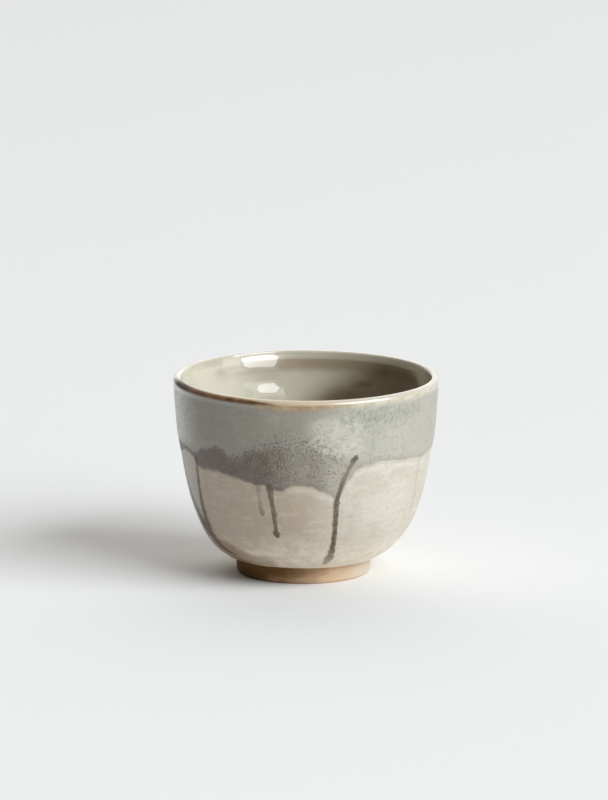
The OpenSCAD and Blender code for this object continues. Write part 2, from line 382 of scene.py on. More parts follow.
def inner_ridge(angle, height):
    """Swell of the inside, in metres outwards: straight slopes between the heights of the table, rounded by
    averaging over a short stretch, and deepest at the back on the left."""
    stops, swell = np.array(ridge_table).T * MM
    reach = np.linspace(-ridge_round, ridge_round, 5)
    shift = np.mean([np.interp(height + step, stops, swell) for step in reach], axis=0)
    upper = ease(height, upper_from, upper_full)
    near = upper * hump(angle, ridge_side, upper_ridge_half)
    near += (1 - upper) * hump(angle, ridge_side, lower_ridge_half)
    return shift * (ridge_least + (1 - ridge_least) * near)


def inside_line(wall_rows, dish_rows, lift):
    """Section of the inside from the axis to the lip. The dish is a parabola that rises to the wall's foot.
    The wall is the outside moved in by the clay's thickness, which falls from the heel's to the lip's by a
    power of the curve value."""
    t = np.linspace(0, 1, wall_rows)
    clay_t = heel_wall + (lip_wall - heel_wall) * t ** thinning_power
    radius, height = wall_point(t, -clay_t - lift)
    slope = (height[1] - height[0]) / (radius[1] - radius[0])
    low = height[0] - radius[0] / 2 * slope
    s = np.linspace(0, 1, dish_rows, endpoint=False)
    return np.append(s * radius[0], radius), np.append(low + s * s * (height[0] - low), height)


def lip_line(rows, coated):
    """Half round over the lip from its outer to its inner side, bare or with a coat that thins at the crest
    by the sine of the turn."""
    turn = np.linspace(0, math.pi, rows)[:, None]
    coat = (coats_t + (liner_t - coats_t) * turn / math.pi) * (1 - crest_thin_share * np.sin(turn))
    return lip_middle + (lip_r + coated * coat) * (np.cos(turn) * lean_out + np.sin(turn) * lean_up)


# The coats hide most of the bowl, so every third column round it is enough
bowl_angles = angles[::3]
bowl_wall = outside(bowl_angles, np.linspace(0, 1, bowl_rows)[:, None], -under_gap)
seat_r = np.linspace(0, heel[0], seat_rows, endpoint=False)[:, None]
bowl_seat = round_the_axis(bowl_angles, seat_r, np.full_like(seat_r, foot_h))
bowl_lip_r, bowl_lip_z = np.split(lip_line(bowl_lip_rows, False)[1:-1] - under_gap * lean_up, 2, axis=1)
inward = np.clip((lip_middle[0] - bowl_lip_r) / lip_r, 0, 1)
bowl_lip_r = bowl_lip_r + inward * inner_ridge(bowl_angles, bowl_lip_z)
bowl_lip = round_the_axis(bowl_angles, bowl_lip_r, bowl_lip_z)
bowl_in_r, bowl_in_z = (side[::-1, None] for side in inside_line(bowl_rows, seat_rows, -under_gap))
bowl_inside = round_the_axis(bowl_angles, bowl_in_r + inner_ridge(bowl_angles, bowl_in_z), bowl_in_z)
# The bare clay of the bowl is darker towards the left: painted shade, as on the foot, and partly toasting
bowl = closed_skin("thrown_bowl", np.concatenate([bowl_seat, bowl_wall, bowl_lip, bowl_inside]),
                   {"toast_and_shade": 0.35 - 0.3 * np.sin(np.radians(bowl_angles))}, poles=True)
bowl.data.materials.append(toasted_and_shaded_clay("thrown_clay"))
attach(bowl, "root")
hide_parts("bowl")

# Liner
# Pale glaze poured into the cup and swilled round. On the inner wall at the right and back it is brown and
# nearly matt: partly thin glaze and partly painted shade where the rim's shadow falls. The wall that faces the
# window is paler with painted light. Elsewhere it is glossy, a little green where it lies thick on the floor,
# and it follows the ridges left by throwing.
liner_rows, dish_rows, liner_under_rows, dish_under_rows = 84, 20, 18, 6
uneven_from, uneven_full = 30 * MM, 48 * MM


def liner_colour(glaze):
    """Pale glaze of the inside: stone to cream clouds, paler with painted light where the wall faces the window,
    grey-green where it lies deep, tan towards the lip, brown where it ran thin and as painted shade, with fine
    iron specks."""
    # The pale cream is painted light, and the brown is thin glaze and painted shade
    stone, cream, window_lit_cream = (0.540, 0.508, 0.405), (0.600, 0.567, 0.462), (0.730, 0.700, 0.582)
    grey_green, tan, thin_shade_brown = (0.500, 0.510, 0.420), (0.300, 0.231, 0.152), (0.130, 0.085, 0.039)
    iron_speck = (0.250, 0.180, 0.110)
    cloud = glaze.noise(8 * MM, 3.0)
    smear = glaze.sum(glaze.noise(2.5 * MM, 2.0, 0.5, (0.25, 0.25, 1.0)), -0.5)
    grain = glaze.noise(0.5 * MM, 2.0)
    margin = glaze.sum(glaze.film("margin"), glaze.times(smear, 0.5))
    thin = glaze.sum(glaze.film("thin"), glaze.times(glaze.sum(cloud, -0.5), 0.4))
    body = glaze.blend(glaze.ramp(cloud, 0.35, 0.65), stone, cream)
    # Painted light: paler cream on the inner wall that faces the window
    body = glaze.blend(glaze.film("window_lit"), body, window_lit_cream)
    body = glaze.blend(glaze.film("depth"), body, grey_green)
    body = glaze.stain(body, tan, margin, (0.1, 0.9), (0.0, 0.75))
    body = glaze.stain(body, thin_shade_brown, thin, (0.0, 0.9), (0.0, 0.94))
    return glaze.stain(body, iron_speck, grain, (0.66, 0.74), (0.0, 0.2))


def bell(value, middle, width):
    """Bell curve: 1 at the middle, falling as e to minus the square of the distance over the width."""
    return np.exp(-((value - middle) / width) ** 2)


def plateau(value, rise, full, fall, end):
    """0 up to rise, 1 from full to fall and 0 from end, with smooth steps between."""
    return ease(value, rise, full) * (1 - ease(value, fall, end))


def inside_films(angle, height):
    """Where the inside has painted light, lies deep, is brown from thin glaze and painted shade, and turns tan,
    from 0 to 1. The brown patch lies between a start and an end that lean with the height, as the rim's shadow
    does, and its start spreads lower down."""
    margin = plateau(angle, 112, 140, 188, 214) * bell(cup_h - height, 3.4 * MM, 2.1 * MM)
    margin += 0.52 * hump(angle, 215, 22) * bell(height, 49.8 * MM, 1.9 * MM)
    start = 95 + 2.5 / MM * np.clip(height - 47.5 * MM, -4 * MM, 4 * MM)
    end = 164 - 2.6 / MM * np.clip(height - 43 * MM, -4 * MM, 11 * MM)
    spread = 1 - ease(height, 32 * MM, 46 * MM)
    # Brown patch of thin glaze and painted shade on the inner wall at the right and back
    thin = plateau(angle, start - 45 * spread, start + 24 - 14 * spread, end - 18, end + 26)
    thin = thin * (1 - 0.4 * ease(height, 48 * MM, 53 * MM)) * ease(height, 4 * MM, 42 * MM)
    depth = 1 - ease(height, 9 * MM, 22 * MM)
    # Painted light on the inner wall that faces the window, round 245 degrees
    return {"window_lit": hump(angle, 245, 52), "depth": depth, "thin": thin, "margin": margin}


liner_r, liner_z = inside_line(liner_rows, dish_rows, liner_t)
liner_uneven = ease(liner_z, uneven_from, uneven_full)[:, None]
liner_shift = liner_uneven * thrown(angles, liner_z[:, None])
liner_shift += inner_ridge(angles, liner_z[:, None])
liner_top = round_the_axis(angles, liner_r[:, None] + liner_shift, liner_z[:, None])
under_r, under_z = inside_line(liner_under_rows, dish_under_rows, -under_gap / 2)
liner_under = round_the_axis(angles, under_r[::-1, None], under_z[::-1, None])
liner_height = np.append(liner_z, under_z[::-1])[:, None]
liner = closed_skin("liner_coat", np.concatenate([liner_top, liner_under]),
                    inside_films(angles, liner_height), poles=True)
liner_glaze = Finish("liner_glaze")
# Less coat gloss over the brown patch of thin glaze and painted shade
liner_gloss = liner_glaze.ramp(liner_glaze.film("thin"), 0.1, 0.8, 0.9, 0.25)
liner_glaze.set(Base_Color=liner_colour(liner_glaze), Roughness=0.3, IOR=1.3, Coat_Weight=liner_gloss,
                Coat_Roughness=0.04, Coat_IOR=1.55)
liner.data.materials.append(liner_glaze.material)
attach(liner, "root")
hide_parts("liner_glaze")

# Pale coat
# The first glaze outside: a satin stone-coloured coat over the whole cup, wiped off just above the foot,
# where it ends in a low roll. Throwing lines and pin specks show through, and a warm tone comes and goes at
# the back. On the front and left, which face away from the window, it is painted warmer and darker as shade,
# and low on the left, by the table, painted tan-brown shade, partly scorch.
pale_rows, under_rows = 124, 6
bare_line, edge_wave, edge_ragged = 0.6 * MM, 0.3 * MM, 0.2 * MM
roll_w, roll_t = 0.9 * MM, 0.12 * MM

# Lower edges of the dark band and of the grey coat: angle from the front, share of the cup's height
band_edge_shares = [
    (-82, 0.635), (-72, 0.660), (-64, 0.648), (-60, 0.611), (-55, 0.593), (-48, 0.600), (-40, 0.594),
    (-34, 0.583), (-28, 0.570), (-24, 0.559), (-20, 0.561), (-16, 0.537), (-12, 0.535), (-8, 0.556),
    (-4, 0.567), (2, 0.559), (8, 0.537), (11, 0.517), (14, 0.490), (17, 0.520), (20, 0.583), (24, 0.637),
    (28, 0.657), (36, 0.670), (44, 0.659), (52, 0.652), (60, 0.648), (64, 0.637), (70, 0.646), (82, 0.655),
    (104, 0.57), (122, 0.64), (146, 0.53), (168, 0.62), (196, 0.58), (216, 0.65), (236, 0.56), (258, 0.64),
    (278, 0.635)]
veil_edge_shares = [
    (-82, 0.70), (-70, 0.69), (-60, 0.678), (-52, 0.709), (-44, 0.733), (-40, 0.726), (-37, 0.693),
    (-32, 0.707), (-24, 0.744), (-16, 0.767), (-8, 0.765), (0, 0.759), (6, 0.748), (10, 0.715), (14, 0.685),
    (18, 0.670), (22, 0.676), (28, 0.673), (36, 0.683), (44, 0.672), (60, 0.661), (82, 0.669), (124, 0.73),
    (152, 0.68), (188, 0.735), (228, 0.69), (258, 0.725), (278, 0.70)]


def edge_height(table, angle):
    """Height of a coat's lower edge at an angle: between two rows of the table the share of the cup's
    height eases over half a cosine, and fine waves make the line a little ragged."""
    stops, shares = np.array(table).T
    a = stops[0] + np.mod(angle - stops[0], 360)
    i = np.clip(np.searchsorted(stops, a, side="right") - 1, 0, len(stops) - 2)
    s = (a - stops[i]) / (stops[i + 1] - stops[i])
    share = shares[i] + (shares[i + 1] - shares[i]) * (1 - np.cos(math.pi * s)) / 2
    return cup_h * share + edge_ragged * waves(angle, 0, seed=21, turns=60, count=30)


def chance(angle):
    """Slow change round the cup, about 0 to 1, by which the films of the back come and go."""
    return 0.5 + 0.5 * waves(angle, 0, seed=61, turns=7)


def wall_films(angle, height):
    """Films of the pale coat: warmer and darker as painted shade on the front and left, which face away from the
    window, and on the far right flank, with a random warm tone at the back; cream at the heel and in one smear
    above it; tan-brown painted shade, partly scorch, low on the left by the table and higher towards the flank;
    and a cooler grey down the left flank."""
    front, behind = from_front(angle), far_side(angle)
    left = -front
    # Painted shade: warmer and darker away from the window and on the far right flank; at the back a random tone
    warm_and_shade = (1 - behind) * plateau(left, -26, 4, 56, 80) + behind * chance(angle)
    warm_and_shade += 0.3 * ease(front, 48, 72) * (1 - behind)
    heel_cream = 1 - ease(height, 8 * MM, (15 + 4 * hump(front, -5, 30)) * MM)
    smear = hump(front, -2, 15) * bell(height, (9.5 - 0.14 * front) * MM, 1.2 * MM)
    # Painted shade low on the left, where the cup comes near the table, partly scorch, higher towards the flank
    climb = ease(left, 30, 52)
    scorch_and_shade = (0.65 + 0.35 * climb) * ease(left, 14, 24)
    scorch_and_shade = scorch_and_shade * (1 - ease(height, (8.1 + 2.7 * climb) * MM, (9.6 + 3.8 * climb) * MM))
    scorch_and_shade += ease(left, 54, 66) * (1 - ease(height, 14 * MM, 24 * MM))
    # A cooler grey down the left flank above the heel
    left_flank_tone = ease(left, 60, 68) * ease(height, 10 * MM, 16 * MM)
    return {"warm_and_shade": warm_and_shade, "heel": np.maximum(heel_cream, smear), "left_flank_tone": left_flank_tone * (1 - behind),
            "scorch_and_shade": np.clip(scorch_and_shade, 0, 1) * (1 - behind)}


def band_films(angle, height):
    """Films of the dark band and of the grey coat, by the height over their edges: how far each covers, where
    the dark fades or turns lilac, the specks where the two mingle, the milky bloom, a lilac-white painted sheen
    on the far left flank and the smudges of the grey, and a painted highlight under the dark edge."""
    front, behind, drift = from_front(angle), far_side(angle), chance(angle)
    over_dark = height - edge_height(band_edge_shares, angle)
    over_grey = height - edge_height(veil_edge_shares, angle)
    right = plateau(front, 16, 30, 86, 110)
    faded = 0.36 * ease(front, -16, -2) + 0.48 * ease(front, 4, 14) - 0.1 * right
    faded *= 1 - ease(front, 86, 110)
    soft = (0.8 + 0.6 * hump(front, -42, 34)) * MM
    mingle = (0.9 + 0.8 * hump(front, -2, 34) + 0.5 * hump(front, -54, 26) + 0.4 * behind - 0.4 * right) * MM
    in_band = ease(over_dark, 0, 1.5 * MM) * (1 - ease(over_grey, 0, 4 * MM))
    specks = bell(over_grey, 0, 1.3 * MM) * (hump(front, -22, 24) + 0.7 * behind * drift)
    specks += 0.75 * in_band * (hump(front, 2, 26) + 0.6 * behind * drift)
    specks += 0.4 * hump(front, -2, 26) * bell(over_grey, 2.6 * MM, 2.6 * MM)
    specks += 0.35 * right * bell(over_dark, 0.6 * MM, 0.8 * MM)
    lilac = hump(front, -52, 18) + 0.8 * hump(front, -20, 18) * (1 - ease(over_dark, 2 * MM, 5 * MM))
    milk = plateau(height, 37 * MM, 40 * MM, 47 * MM, 51 * MM) * (hump(front, 14, 17) + behind * (1 - drift))
    # Painted sheen on the far left flank, lighter where the edge catches the bright room behind
    left_edge_sheen = ease(-front, 52, 82) * (1 - behind) * ease(height, 36 * MM, 40 * MM)
    smudge = hump(front, 38, 30) * bell(lip_top - height, 5.0 * MM, 2.4 * MM)
    smudge += 0.3 * hump(front, 24, 14) * bell(height, 46 * MM, 4 * MM)
    # Painted highlight just under the dark edge, on the front and towards the window
    edge_highlight = bell(over_dark, -1.3 * MM, 0.8 * MM) * (hump(front, 2, 16) + hump(front, 44, 34))
    return {"dark": ease(over_dark, -soft, soft) * (1 - 0.25 * faded), "faded": faded,
            "grey": ease(over_grey, -mingle, mingle), "specks": np.clip(specks, 0, 1),
            "lilac": np.clip(lilac, 0, 1), "milk": np.clip(milk, 0, 1), "left_edge_sheen": left_edge_sheen,
            "smudge": np.clip(smudge, 0, 1), "edge_highlight": edge_highlight}


def rim_films(angle, height):
    """Films of the lip, by the depth under it: amber that sags in front, a cream crest, a straw tone on the
    right, and on the left a burnt iron line that climbs to the crest. The flanks stay grey."""
    front, behind = from_front(angle), far_side(angle)
    left, below_lip = -front, lip_top - height
    grey_lip = hump(front, -88, 44) + 0.7 * hump(front, 94, 34)
    sag = ease(front, -34, -12) * (1 - 0.4 * ease(front, -4, 14)) * (1 - behind)
    amber_depth = (0.9 + 1.7 * sag + 0.8 * behind * chance(angle)) * MM
    amber = 1 - ease(below_lip, 0.3 * amber_depth, 1.6 * amber_depth)
    crest_depth = ((0.05 + 0.9 * ease(front, -32, -10)) * (1 - behind) + 1.9 * behind) * MM
    crest = 1 - ease(below_lip, 0.5 * crest_depth, 1.7 * crest_depth)
    to_crest = ease(left, 24, 64)
    iron = bell(below_lip, (0.95 - 0.5 * to_crest) * MM, (0.55 + 0.25 * to_crest) * MM)
    return {"amber": amber * (1 - 0.8 * grey_lip), "crest": crest * (1 - grey_lip),
            "straw": ease(front, 4, 30) * (1 - behind) + 0.7 * behind,
            "iron": plateau(left, 6, 26, 70, 92) * iron}


def glaze_films(angle, height):
    """All films of the outside at an angle and height, from 0 to 1. Every coat takes them from here, so the
    coats meet without a seam."""
    return {**wall_films(angle, height), **band_films(angle, height), **rim_films(angle, height)}


class CoatGlaze(Finish):
    """Material of the outside, with the noises that its glazes share: clouds, patches, mottle, lines drawn out
    round the cup, grain, upright grains of salt and a fine tooth. Crumble is grain plus salt, round zero."""

    def __init__(self, name):
        super().__init__(name)
        self.cloud = self.noise(9 * MM, 3.0)
        self.patch = self.noise(3.4 * MM, 3.0, 0.6)
        self.mottle = self.noise(1.4 * MM, 3.0, 0.65)
        self.lines = self.noise(1.1 * MM, 3.0, 0.6, (0.16, 0.16, 1.0))
        self.grain = self.noise(0.5 * MM, 2.0, 0.6)
        self.salt = self.noise(0.38 * MM, 2.0, 0.6, (1.0, 1.0, 0.6))
        self.fine = self.noise(0.2 * MM, 1.0)
        self.crumble = self.sum(self.sum(self.grain, self.salt), -1.0)

    def cover(self, body, colour, film, share=1.0):
        """Body under a colour, by a film times a share."""
        return self.blend(self.times(self.film(film), share), body, colour)

    def crumbled(self, film, reach, low, high):
        """Cover of a glaze: its film plus the crumble times reach, ramped from low to high, so that its edge
        breaks up into grains."""
        return self.ramp(self.sum(self.film(film), self.times(self.crumble, reach)), low, high)


def pale_colour(glaze):
    """Stone, warmer and darker as painted shade on the front and left and warmer at random at the back, with
    brown clouds and cream patches. Over that come the cream heel, the tan painted shade low on the left, partly
    scorch, a painted highlight under the dark edge, the cooler grey of the left flank, brown mottle, brown and
    white throwing lines and pin specks."""
    # The warm colour is painted shade on the front and left, and a random tone at the back
    body = glaze.blend(glaze.film("warm_and_shade"), (0.618, 0.585, 0.508), (0.492, 0.407, 0.306))
    body = glaze.stain(body, (0.490, 0.395, 0.295), glaze.cloud, (0.38, 0.60), (0.35, 0.0))
    body = glaze.stain(body, (0.640, 0.600, 0.495), glaze.patch, (0.44, 0.66), (0.0, 0.30))
    body = glaze.stain(body, (0.795, 0.700, 0.562), glaze.patch, (0.34, 0.60), (0.5, 1.0), "heel")
    # Tan-brown painted shade low on the left
    body = glaze.stain(body, (0.275, 0.168, 0.090), glaze.patch, (0.34, 0.60), (0.75, 0.95), "scorch_and_shade")
    # Painted highlight under the dark band's edge
    body = glaze.cover(body, (0.720, 0.695, 0.600), "edge_highlight", 0.45)
    # Cooler grey down the left flank
    body = glaze.cover(body, (0.480, 0.445, 0.440), "left_flank_tone", 0.6)
    body = glaze.stain(body, (0.420, 0.365, 0.290), glaze.mottle, (0.48, 0.68), (0.0, 0.22))
    body = glaze.stain(body, (0.420, 0.365, 0.285), glaze.lines, (0.50, 0.72), (0.0, 0.26))
    body = glaze.stain(body, (0.740, 0.705, 0.610), glaze.lines, (0.28, 0.46), (0.30, 0.0))
    pins = glaze.ramp(glaze.grain, 0.61, 0.72, 0.0, 0.45)
    pins = glaze.times(pins, glaze.ramp(glaze.patch, 0.4, 0.6, 0.3, 1.0))
    return glaze.blend(pins, body, (0.280, 0.235, 0.180))


def dark_colour(glaze):
    """Dark grey-brown in patches, lilac in places and faded in others, with light salt, which is thicker where
    the specks are."""
    body = glaze.blend(glaze.ramp(glaze.patch, 0.36, 0.64), (0.115, 0.097, 0.071), (0.174, 0.147, 0.116))
    body = glaze.cover(body, (0.159, 0.125, 0.115), "lilac", 0.8)
    body = glaze.cover(body, (0.455, 0.421, 0.356), "faded")
    body = glaze.stain(body, (0.380, 0.355, 0.300), glaze.salt, (0.54, 0.70), (0.0, 0.25))
    return glaze.stain(body, (0.470, 0.440, 0.365), glaze.salt, (0.46, 0.62), (0.1, 0.6), "specks")


def grey_colour(glaze):
    """Grey-green, browner and darker where painted shade warms the coats, and at random at the back, with
    clouds, a milky bloom, a lilac-white painted sheen on the far left, mottle, dark specks and smudges, dark
    grain and white salt."""
    body = glaze.blend(glaze.film("warm_and_shade"), (0.456, 0.443, 0.387), (0.309, 0.283, 0.239))
    body = glaze.stain(body, (0.410, 0.398, 0.350), glaze.cloud, (0.38, 0.60), (0.3, 0.0))
    body = glaze.stain(body, (0.625, 0.610, 0.520), glaze.patch, (0.34, 0.62), (0.48, 0.74), "milk")
    # Lilac-white painted sheen on the far left flank
    body = glaze.cover(body, (0.880, 0.855, 0.865), "left_edge_sheen", 0.65)
    body = glaze.stain(body, (0.270, 0.262, 0.225), glaze.mottle, (0.48, 0.68), (0.0, 0.42))
    body = glaze.stain(body, (0.265, 0.262, 0.225), glaze.mottle, (0.44, 0.62), (0.0, 0.6), "specks")
    body = glaze.stain(body, (0.270, 0.268, 0.228), glaze.mottle, (0.36, 0.64), (0.1, 0.65), "smudge")
    body = glaze.stain(body, (0.170, 0.170, 0.140), glaze.grain, (0.36, 0.50), (0.4, 0.0), "smudge")
    body = glaze.stain(body, (0.230, 0.225, 0.190), glaze.grain, (0.30, 0.44), (0.30, 0.0))
    return glaze.stain(body, (0.640, 0.635, 0.565), glaze.salt, (0.58, 0.72), (0.0, 0.3))


def lip_colours(glaze):
    """Amber, cream and iron of the lip: amber and iron in patches, amber and cream paler by the straw film,
    and iron nearly black on the left flank."""
    amber = glaze.blend(glaze.ramp(glaze.patch, 0.36, 0.62), (0.325, 0.198, 0.086), (0.452, 0.310, 0.160))
    straw = glaze.blend(glaze.ramp(glaze.patch, 0.40, 0.60), (0.540, 0.470, 0.285), (0.640, 0.590, 0.465))
    amber = glaze.blend(glaze.film("straw"), amber, straw)
    cream = glaze.blend(glaze.film("straw"), (0.650, 0.545, 0.390), (0.610, 0.570, 0.470))
    iron = glaze.blend(glaze.ramp(glaze.patch, 0.36, 0.62), (0.118, 0.049, 0.014), (0.225, 0.116, 0.043))
    return amber, cream, glaze.cover(iron, (0.055, 0.042, 0.028), "left_flank_tone")


def layered_glaze(name, gloss, inside=False):
    """Satin glazes over each other: pale, dark, grey, specks, runs, then amber, cream and iron at the lip, each
    by its own film. Gloss is the weight of a clear coat. Amber is smoother than the rest, and iron is rough.
    Inside adds the liner's colour on the lip's inner side, and takes the gloss off the iron."""
    dark_speck, run_glass = (0.085, 0.080, 0.060), (0.096, 0.066, 0.034)
    glaze = CoatGlaze(name)
    amber, cream, iron = lip_colours(glaze)
    grains = glaze.sum(glaze.film("specks"), 0.5)
    body = glaze.blend(glaze.crumbled("dark", grains, 0.15, 0.85), pale_colour(glaze), dark_colour(glaze))
    body = glaze.blend(glaze.crumbled("grey", 1.2, 0.1, 0.9), body, grey_colour(glaze))
    body = glaze.stain(body, dark_speck, glaze.grain, (0.34, 0.48), (0.9, 0.0), "specks")
    run = glaze.times(glaze.crumbled("run", 0.8, 0.05, 0.95), glaze.film("tone"))
    run = glaze.times(run, glaze.ramp(glaze.mottle, 0.36, 0.58, 0.84, 1.0))
    body = glaze.blend(run, body, run_glass)
    body = glaze.blend(glaze.crumbled("amber", 0.4, 0.0, 1.0), body, amber)
    body = glaze.blend(glaze.crumbled("crest", 0.2, 0.1, 0.9), body, cream)
    body = glaze.blend(glaze.crumbled("iron", 0.3, 0.1, 0.9), body, iron)
    if inside:
        body = glaze.blend(glaze.film("inside"), body, liner_colour(glaze))
        gloss = glaze.ramp(glaze.film("iron"), 0.0, 0.6, gloss, 0.1)
    relief = glaze.sum(glaze.times(glaze.lines, 0.5), glaze.times(glaze.fine, 0.3))
    roughness = glaze.ramp(glaze.film("amber"), 0.2, 0.9, 0.40, 0.20)
    roughness = glaze.sum(roughness, glaze.times(glaze.film("iron"), 0.35))
    roughness = glaze.sum(roughness, glaze.ramp(glaze.patch, 0.3, 0.7, -0.05, 0.06))
    glaze.set(Base_Color=body, Roughness=roughness, Normal=glaze.bump(relief, 0.05 * MM, 0.5),
              Coat_Weight=gloss, Coat_Roughness=0.05, Coat_IOR=1.6)
    return glaze.material


def coat_skin(name, low_t, rows, lift, crowd=1.0):
    """Closed coat on the wall: rows from its lower edge up to the lip at the given lift over the clay, and
    an under side sunk a hair into the clay. A crowd over 1 draws the rows towards the lower edge."""
    t = low_t + (1 - low_t) * np.linspace(0, 1, rows)[:, None] ** crowd
    under_t = low_t + (1 - low_t) * np.linspace(1, 0, under_rows)[:, None]
    skin = np.concatenate([outside(angles, t, lift(t)), outside(angles, under_t, -under_gap / 2)])
    height = wall_point(np.concatenate([t, under_t]))[1]
    return closed_skin(name, skin, glaze_films(angles, height))


# Metres along the clay for each unit of the curve value, at the heel
heel_speed = 3 * np.linalg.norm(wall_handles[1] - wall_handles[0])
foot_wave = edge_wave * waves(angles, 0, seed=41, turns=14)
pale_low_t = (bare_line + edge_wave + foot_wave) / heel_speed


def pale_lift(t):
    """Height of the pale coat over the clay: a quarter round at the foot, a low roll above it, then even."""
    along = (t - pale_low_t) * heel_speed
    rise = np.sqrt(1 - (1 - np.clip(along / roll_w, 0, 1)) ** 2)
    return outer_t * rise + roll_t * bell(along, roll_w, roll_w)


pale_coat = coat_skin("pale_coat", pale_low_t, pale_rows, pale_lift)
pale_coat.data.materials.append(layered_glaze("pale_glaze", 0.0))
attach(pale_coat, "root")
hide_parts("outer_glaze")

# Dark band
# The second glaze, poured round the upper wall over the pale coat. It is dark grey-brown, grainy where it
# has crawled, and its lower edge sags towards each run.
band_rows, band_crowd = 70, 1.4
band_reach, band_fade, edge_sink = 0.6 * MM, 2.2 * MM, 0.015 * MM


class Pour:
    """A glaze poured over another. Its hidden edge lies by the reach under the line of its table, and from
    there it swells over the fade to its full thickness above the base, the top of the glaze below it."""

    def __init__(self, table, reach, fade, base, thickness):
        self.table, self.reach, self.fade = table, reach, fade
        self.base, self.thickness = base, thickness

    def low(self, angle):
        """Height of the hidden edge: the table's line less the reach."""
        return edge_height(self.table, angle) - self.reach

    def swell(self, angle, height):
        """Share of the full thickness: a smooth step over the fade, from the hidden edge up."""
        return ease(height - self.low(angle), 0, self.fade)

    def lift(self, t):
        """Height of the surface over the clay at curve values: it starts a hair below the base."""
        swell = self.swell(angles, wall_point(t)[1])
        return self.base - edge_sink + (self.thickness + edge_sink) * swell


band_pour = Pour(band_edge_shares, band_reach, band_fade, outer_t, band_t)
band = coat_skin("dark_band", wall_at(band_pour.low(angles)), band_rows, band_pour.lift, band_crowd)
band.data.materials.append(layered_glaze("dark_glaze", 0.0))
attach(band, "root")
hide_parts("band_glaze")

# Grey coat
# The third glaze, a thin grey-green dip over the top of the band. Along its lower edge it breaks up into
# grains where it melted into the dark glaze.
veil_rows, veil_crowd = 60, 1.2
veil_reach, veil_fade = 1.3 * MM, 2.6 * MM
veil_pour = Pour(veil_edge_shares, veil_reach, veil_fade, outer_t + band_t, veil_t)
veil = coat_skin("grey_coat", wall_at(veil_pour.low(angles)), veil_rows, veil_pour.lift, veil_crowd)
veil.data.materials.append(layered_glaze("grey_glaze", 0.0))
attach(veil, "root")
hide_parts("veil_glaze")

# Lip
# Over the lip the coats have run thin and the iron in the clay has burnt through: cream on the crest, amber
# below it, and a dark brown line on the side that faced the flame. It is one ring from coat to liner.
lip_rows, side_rows = 40, 10
side_top, core_depth, core_share = 0.95, 0.6, 0.5
lip_wave_h, lip_wave_reach = 0.1 * MM, 3 * MM
side_share = np.linspace(0, side_top, side_rows)[:, None]
lip_inner = np.array(wall_point(1.0, -lip_wall - liner_t))
lip_loop = np.vstack([
    wall_top + coats_t * lean_out + side_share * lip_drop * lean_up, lip_line(lip_rows, True),
    lip_inner + side_share[::-1] * lip_drop * lean_up, [lip_inner + core_share * liner_t * lean_out],
    [lip_middle - core_depth * lip_r * lean_up], [wall_top + core_share * coats_t * lean_out]])
lip_height = np.broadcast_to(lip_loop[:, 1:], (len(lip_loop), angles.size))
lip_inward = np.clip((lip_middle[0] - lip_loop[:, :1]) / (lip_r + liner_t), 0, 1)
inner_lean = (liner_r[-1] - liner_r[-2]) / (liner_z[-1] - liner_z[-2])
lip_flare = (inner_lean - math.tan(wall_lean)) * np.clip(lip_height - lip_inner[1], 0, lip_drop)
lip_shift = thrown(angles, lip_height) + lip_inward * (inner_ridge(angles, lip_height) + lip_flare)
lip_wave = lip_wave_h * waves(angles, 0, seed=51, turns=5) * ease(lip_height, cup_h - lip_wave_reach, cup_h)
lip_films = glaze_films(angles, lip_height)
lip_inside = ease(lip_inward, 0.1, 0.6)
lip_films["iron"] *= 1 - lip_inside
lip_films["amber"] = np.maximum(lip_films["amber"], lip_inside)
lip_back = ease(np.abs(from_front(angles)), 90, 120)
lip_films["straw"] = np.maximum(lip_films["straw"], lip_inside * lip_back)
lip_films["inside"] = lip_inside * (1 - lip_films["crest"])
lip_films.update(inside_films(angles, lip_height))
lip = closed_skin("amber_lip", round_the_axis(angles, lip_loop[:, :1] + lip_shift, lip_height + lip_wave),
                  lip_films)
lip.data.materials.append(layered_glaze("amber_glaze", 0.85, True))
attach(lip, "root")
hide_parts("lip_glaze")

# Runs
# Where the band was thickest it ran down the wall in the kiln and froze as narrow glassy beads, dark at the
# core and thin at the sides. Those at the back are like those in front.
run_w, run_t, run_sink = 1.7 * MM, 0.28 * MM, 0.01 * MM
run_spread, run_waver, waver_pitch = 1.2, 0.16, 2 * MM
run_hollow, run_end_least = 0.4, 1e-3
wide_gain, wide_most = 1.5, 1.2
core_gain, core_power = 1.2, 1.7
run_rows, run_columns = 160, 28

